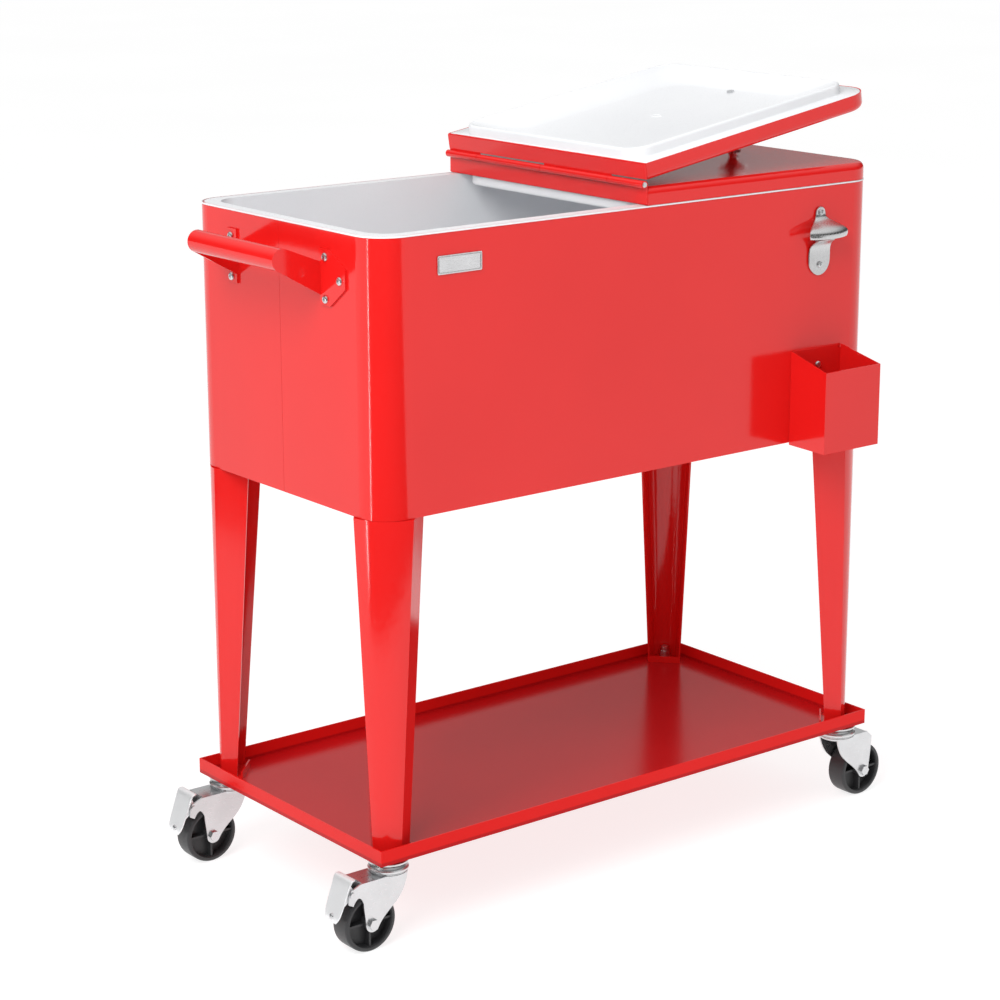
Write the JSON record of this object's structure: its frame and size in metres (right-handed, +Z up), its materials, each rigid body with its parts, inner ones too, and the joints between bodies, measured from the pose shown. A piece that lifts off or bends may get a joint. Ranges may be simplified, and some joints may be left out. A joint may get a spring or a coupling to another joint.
{
  "type": "rolling patio cooler chest",
  "caption": "Rolling insulated cooler chest on tapered legs with folding lids, lower tray, end handle, bottle opener, cap bin and swivel casters.",
  "frame": {"origin": "on the ground under the middle of the whole cart", "axes": "+X along the chest away from the handle, +Y to the back, +Z up"},
  "size_m": [0.865, 0.4398, 0.923],
  "materials": {
    "red_enamel": "gloss",
    "white_liner": "satin",
    "foam": "matte",
    "zinc": "satin",
    "chrome": "polished",
    "stainless": "brushed",
    "black_wheel": "satin",
    "plate_silver": "satin",
    "white_fitting": "satin"
  },
  "bodies": {
    "cart": {"casing_front": "red_enamel", "casing_back": "red_enamel", "casing_bottom": "red_enamel", "liner_tub": "white_liner", "tub_insulation": "foam", "tray": "red_enamel", "leg_screws": "zinc", "stem_nuts": "zinc", "handle_bar": "red_enamel", "handle_arm_front": "red_enamel", "handle_arm_back": "red_enamel", "handle_screws": "zinc", "bottle_opener": "stainless", "opener_screws": "zinc", "catch_bin": "red_enamel", "bin_screws": "zinc", "name_plate": "plate_silver", "drain_spout": "white_fitting", "drain_nut": "white_fitting", "leg_front_left": "red_enamel", "leg_front_right": "red_enamel", "leg_back_left": "red_enamel", "leg_back_right": "red_enamel", "caster_stem_front_left": "zinc", "caster_stem_front_right": "zinc", "caster_stem_back_left": "zinc", "caster_stem_back_right": "zinc"},
    "drain_cap": {"drain_cap": "white_fitting"},
    "right_lid": {"right_lid_shell": "red_enamel", "right_lid_liner": "white_liner", "right_lid_foam": "foam", "right_lid_knob": "chrome", "right_knob_screw": "zinc", "right_hinge_leaf": "red_enamel", "hinge_pin": "zinc"},
    "left_lid": {"left_lid_shell": "red_enamel", "left_lid_liner": "white_liner", "left_lid_foam": "foam", "left_lid_knob": "chrome", "left_knob_screw": "zinc", "left_hinge_leaf": "red_enamel"},
    "caster_front_left": {"caster_fork_front_left": "zinc", "caster_axle_front_left": "zinc", "brake_pin_front_left": "zinc"},
    "wheel_front_left": {"caster_wheel_front_left": "black_wheel"},
    "pedal_front_left": {"brake_pedal_front_left": "zinc"},
    "caster_front_right": {"caster_fork_front_right": "zinc", "caster_axle_front_right": "zinc"},
    "wheel_front_right": {"caster_wheel_front_right": "black_wheel"},
    "caster_back_left": {"caster_fork_back_left": "zinc", "caster_axle_back_left": "zinc", "brake_pin_back_left": "zinc"},
    "wheel_back_left": {"caster_wheel_back_left": "black_wheel"},
    "pedal_back_left": {"brake_pedal_back_left": "zinc"},
    "caster_back_right": {"caster_fork_back_right": "zinc", "caster_axle_back_right": "zinc"},
    "wheel_back_right": {"caster_wheel_back_right": "black_wheel"}
  },
  "joints": [
    {"name": "right_lid_hinge", "type": "hinge", "parent": "cart", "child": "right_lid", "pos_m": [0.0072, 0.0295, 0.8304], "axis": [0, -1, 0], "range_deg": [0, 170.7]},
    {"name": "left_lid_hinge", "type": "hinge", "parent": "right_lid", "child": "left_lid", "pos_m": [0.0072, 0.0295, 0.8304], "axis": [0, 1, 0], "range_deg": [-170.7, 0]},
    {"name": "drain_cap_turn", "type": "hinge", "parent": "cart", "child": "drain_cap", "pos_m": [0.0072, 0.0295, 0.47], "axis": [0, 0, 1], "range_deg": [0, 540]},
    {"name": "swivel_front_left", "type": "hinge", "parent": "cart", "child": "caster_front_left", "pos_m": [-0.3496, -0.1373, 0.09], "axis": [0, 0, 1], "continuous": true},
    {"name": "roll_front_left", "type": "hinge", "parent": "caster_front_left", "child": "wheel_front_left", "pos_m": [-0.3836, -0.1373, 0.0345], "axis": [0, 1, 0], "continuous": true},
    {"name": "brake_front_left", "type": "hinge", "parent": "caster_front_left", "child": "pedal_front_left", "pos_m": [-0.4106, -0.1373, 0.076], "axis": [0, 1, 0], "range_deg": [-9, 0]},
    {"name": "swivel_front_right", "type": "hinge", "parent": "cart", "child": "caster_front_right", "pos_m": [0.364, -0.1373, 0.09], "axis": [0, 0, 1], "continuous": true},
    {"name": "roll_front_right", "type": "hinge", "parent": "caster_front_right", "child": "wheel_front_right", "pos_m": [0.398, -0.1373, 0.0345], "axis": [0, 1, 0], "continuous": true},
    {"name": "swivel_back_left", "type": "hinge", "parent": "cart", "child": "caster_back_left", "pos_m": [-0.3496, 0.1963, 0.09], "axis": [0, 0, 1], "continuous": true},
    {"name": "roll_back_left", "type": "hinge", "parent": "caster_back_left", "child": "wheel_back_left", "pos_m": [-0.3836, 0.1963, 0.0345], "axis": [0, 1, 0], "continuous": true},
    {"name": "brake_back_left", "type": "hinge", "parent": "caster_back_left", "child": "pedal_back_left", "pos_m": [-0.4106, 0.1963, 0.076], "axis": [0, 1, 0], "range_deg": [-9, 0]},
    {"name": "swivel_back_right", "type": "hinge", "parent": "cart", "child": "caster_back_right", "pos_m": [0.364, 0.1963, 0.09], "axis": [0, 0, 1], "continuous": true},
    {"name": "roll_back_right", "type": "hinge", "parent": "caster_back_right", "child": "wheel_back_right", "pos_m": [0.398, 0.1963, 0.0345], "axis": [0, 1, 0], "continuous": true}
  ]
}
